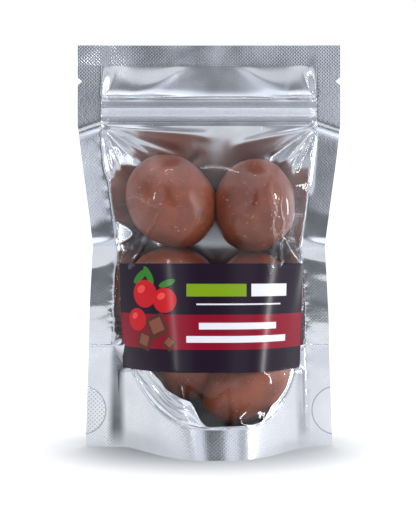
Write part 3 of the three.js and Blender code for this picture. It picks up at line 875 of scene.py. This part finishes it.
def zip_plastic():
    plastic = Finish(bpy.data.materials.new("zip_plastic"))
    _, v, _ = plastic.split(plastic.node("ShaderNodeUVMap"))
    from_middle = abs(v * (1 / MM) - (FLAT_ZIP - ZIP_LOW + zip_middle))
    rib = from_middle.rise(1.9, 1.6)
    where = plastic.node("ShaderNodeTexCoord", out="Object")
    grain = plastic.noise(1400, where, 2)
    colour = plastic.mix(rib, rgb(168, 171, 179), rgb(228, 232, 240))
    grains = {"Strength": 0.5, "Distance": 0.0002, "Height": grain * (1 - rib)}
    bump = plastic.node("ShaderNodeBump", None, grains)
    sockets = {"Base Color": colour, "Roughness": 0.45 - 0.3 * rib, "Normal": bump}
    body = plastic.node("ShaderNodeBsdfPrincipled", None, sockets)
    through = plastic.node("ShaderNodeBsdfTransparent", None, {"Color": rgb(255, 255, 255)})
    cover = 0.5 + 0.2 * rib + 0.25 * (grain - 0.5)
    return plastic.show(plastic.node("ShaderNodeMixShader", None, {0: cover, 1: through, 2: body}))


zip_strip.data.materials.append(zip_plastic())
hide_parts("pouch")
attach(zip_strip, "root")

# The label: a printed sheet stuck across the film, dark with a crimson band. Plain bars, ovals and squares
# are printed on it.
label_u, label_v = np.meshgrid(
    np.linspace(LABEL_CENTRE - LABEL_WIDTH / 2, LABEL_CENTRE + LABEL_WIDTH / 2, 141),
    np.linspace(LABEL_LOW * FLAT_ZIP / ZIP_LOW, LABEL_HIGH * FLAT_ZIP / ZIP_LOW, 73),
)
LABEL_LIFT = 2.4 * GAP  # in front of the panel, where the film is at one gap
label_places = forward(on_sheet(front_sheet, label_u, label_v), 1, LABEL_LIFT)
label = sheet_piece("label_sheet", label_u, label_v, label_places)

INK, CRIMSON, WHITE_INK, LIME = rgb(28, 14, 32), rgb(130, 8, 36), rgb(222, 220, 226), rgb(118, 150, 18)
RED, PALE_RED, LEAF, BROWN, PALE_BROWN = (
    rgb(190, 24, 34),
    rgb(226, 74, 70),
    rgb(52, 118, 40),
    rgb(84, 42, 32),
    rgb(128, 76, 60),
)
# Each bar as colour, left, right, bottom and top, and each oval as colour, middle, half sizes and turn.
BARS = (
    (CRIMSON, -60, 60, 42.6, 56.4),
    (LIME, -9, 15, 63.6, 68.6),
    (WHITE_INK, 17, 33, 63.6, 68.6),
    (WHITE_INK, -5, 30, 60.2, 60.8),
    (WHITE_INK, -4, 28, 50.6, 53.2),
    (WHITE_INK, -9, 33, 45.4, 48.0),
)
OVALS = (
    (LEAF, -29, 71.5, 4.2, 1.5, 40),
    (LEAF, -25, 72.0, 4.0, 1.4, 120),
    (LEAF, -17, 68.8, 3.6, 1.3, 20),
    (RED, -27, 64.5, 5.6, 5.6, 0),
    (PALE_RED, -28.6, 66.3, 2.0, 1.5, 30),
    (RED, -18, 62.0, 5.0, 5.0, 0),
    (PALE_RED, -19.4, 63.6, 1.8, 1.3, 30),
    (RED, -31, 54.0, 4.6, 4.6, 0),
    (PALE_RED, -32.2, 55.5, 1.6, 1.2, 30),
)
SQUARES = ((-21.5, 51.5, 4.4, 24), (-27.5, 45.6, 3.4, -18), (-16, 45.0, 2.4, 50))


def label_print():
    """Prints the bars and shapes in turn, by lengths on the flat label."""
    ink = Finish(bpy.data.materials.new("label_print"))
    u, v, _ = ink.split(ink.node("ShaderNodeUVMap"))
    u, z = u * (1 / MM), v * (ZIP_LOW / FLAT_ZIP / MM)
    colour = INK
    for shade, left, right, bottom, top in BARS:
        inside = u.rise(left - 0.08, left + 0.08) * u.rise(right + 0.08, right - 0.08)
        inside = inside * z.rise(bottom - 0.08, bottom + 0.08) * z.rise(top + 0.08, top - 0.08)
        colour = ink.mix(inside, colour, shade)
    for middle, height, half, turn in SQUARES:
        for shade, size, shift in ((BROWN, half, 0), (PALE_BROWN, half * 0.62, 0.35)):
            c, s = math.cos(math.radians(turn)), math.sin(math.radians(turn))
            dx, dz = u - middle, z - height - shift
            off = abs(dx * c + dz * s).largest(abs(dz * c - dx * s))
            colour = ink.mix(off.rise(size + 0.12, size - 0.12), colour, shade)
    for shade, middle, height, half_u, half_z, turn in OVALS:
        c, s = math.cos(math.radians(turn)), math.sin(math.radians(turn))
        dx, dz = u - middle, z - height
        along, aside = (dx * c + dz * s) * (1 / half_u), (dz * c - dx * s) * (1 / half_z)
        colour = ink.mix((along * along + aside * aside).rise(1.06, 0.94), colour, shade)
    sockets = {"Base Color": colour, "Roughness": 0.19, "IOR": 1.34}
    return ink.show(ink.node("ShaderNodeBsdfPrincipled", None, sockets))


label.data.materials.append(label_print())
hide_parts("label")
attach(label, "root")
